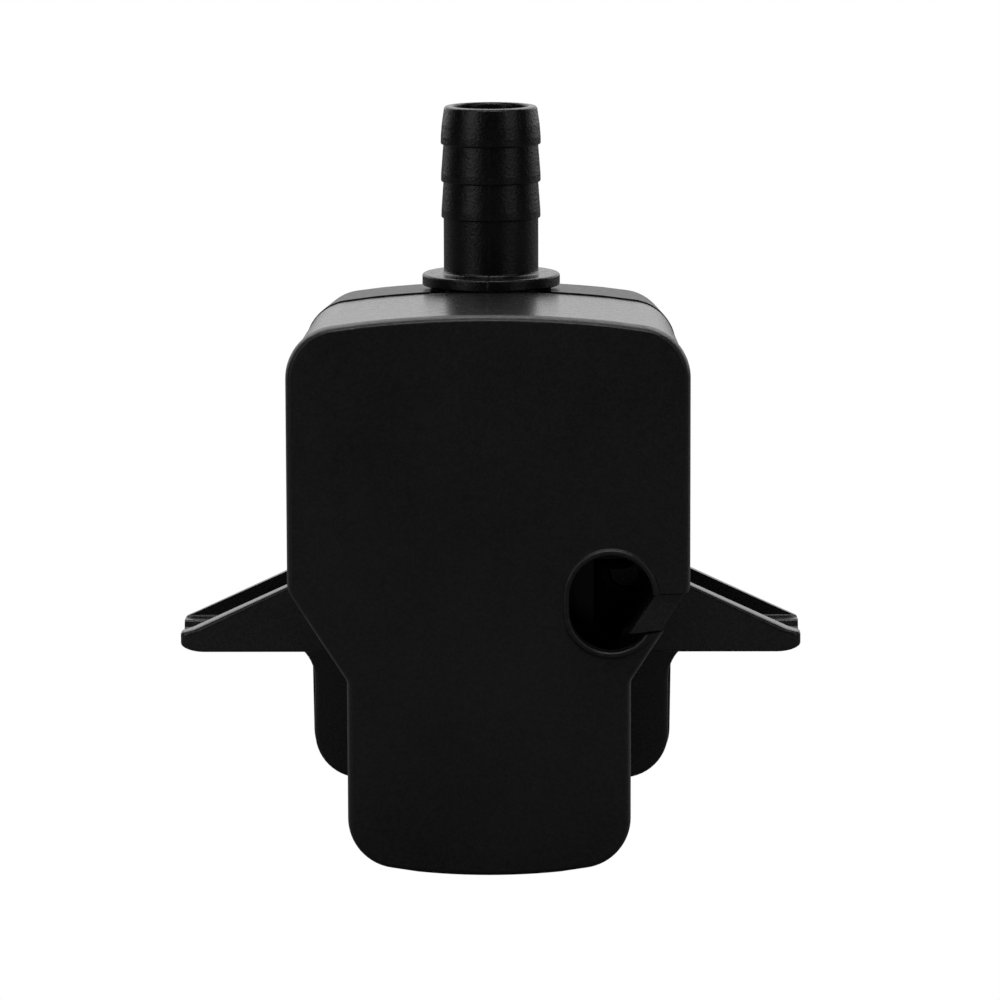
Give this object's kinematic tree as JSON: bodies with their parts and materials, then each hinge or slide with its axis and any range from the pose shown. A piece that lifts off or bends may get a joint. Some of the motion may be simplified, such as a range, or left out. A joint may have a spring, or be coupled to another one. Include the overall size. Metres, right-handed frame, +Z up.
{
  "type": "submersible circulation pump",
  "caption": "Compact submersible magnetic-drive water pump with a barbed vertical outlet, side mounting wings, cord hole in a keystone rear cap and a slotted strainer cover.",
  "frame": {"origin": "centre of the whole pump's box, at floor level under the base pad", "axes": "+Z up along the hose barb, -Y is the side of the flat rear cap with the cord hole, +Y the side of the strainer cover, X along the mounting wings"},
  "size_m": [0.098, 0.067, 0.1156],
  "materials": {
    "cap_plastic": "satin black, fine spark-eroded grain",
    "housing_plastic": "satin black, fine spark-eroded grain",
    "cover_plastic": "satin black, fine spark-eroded grain",
    "volute_plastic": "satin black, slightly smoother than the covers",
    "slider_plastic": "satin dark grey",
    "can_plastic": "matte black",
    "resin": "glossy cast epoxy",
    "lamination_steel": "stacked electrical steel sheets",
    "copper_wire": "enamelled winding wire",
    "bobbin_nylon": "natural nylon",
    "fuse_shell": "white sleeve",
    "grommet_rubber": "matte black rubber",
    "bush_rubber": "matte black rubber",
    "seal_rubber": "matte black rubber",
    "ferrite": "sintered ferrite, matte dark grey",
    "rotor_nylon": "natural nylon",
    "impeller_plastic": "light grey moulded plastic",
    "shaft_ceramic": "ground alumina",
    "washer_ceramic": "ground alumina",
    "screw_steel": "stainless steel"
  },
  "bodies": {
    "pump": {"motor_housing": "housing_plastic", "motor_can": "can_plastic", "potting_resin": "resin", "stator_core": "lamination_steel", "stator_yoke": "lamination_steel", "bobbin_left": "bobbin_nylon", "coil_left": "copper_wire", "bobbin_right": "bobbin_nylon", "coil_right": "copper_wire", "thermal_fuse": "fuse_shell", "cord_grommet": "grommet_rubber", "shaft": "shaft_ceramic", "rear_bush": "bush_rubber", "thrust_washer_rear": "washer_ceramic", "thrust_washer_front": "washer_ceramic", "front_bush": "bush_rubber", "volute_housing": "volute_plastic", "volute_seal": "seal_rubber", "volute_screw_1": "screw_steel", "volute_screw_2": "screw_steel", "volute_screw_3": "screw_steel", "volute_screw_4": "screw_steel"},
    "rear_cover": {"rear_cap": "cap_plastic"},
    "rotor": {"rotor_magnet": "ferrite", "rotor_sleeve": "rotor_nylon", "impeller": "impeller_plastic"},
    "strainer": {"strainer_cover": "cover_plastic"},
    "slider": {"flow_slider": "slider_plastic"}
  },
  "joints": [
    {"name": "rear_cap_pull", "type": "slide", "parent": "pump", "child": "rear_cover", "axis": [0, -1, 0], "range_m": [0, 0.03]},
    {"name": "rotor_spin", "type": "hinge", "parent": "pump", "child": "rotor", "pos_m": [0, 0, 0.0319], "axis": [0, 1, 0], "continuous": true},
    {"name": "strainer_pull", "type": "slide", "parent": "pump", "child": "strainer", "axis": [0, 1, 0], "range_m": [0, 0.04]},
    {"name": "flow_adjust", "type": "slide", "parent": "strainer", "child": "slider", "axis": [0, 0, -1], "range_m": [0, 0.018]}
  ]
}
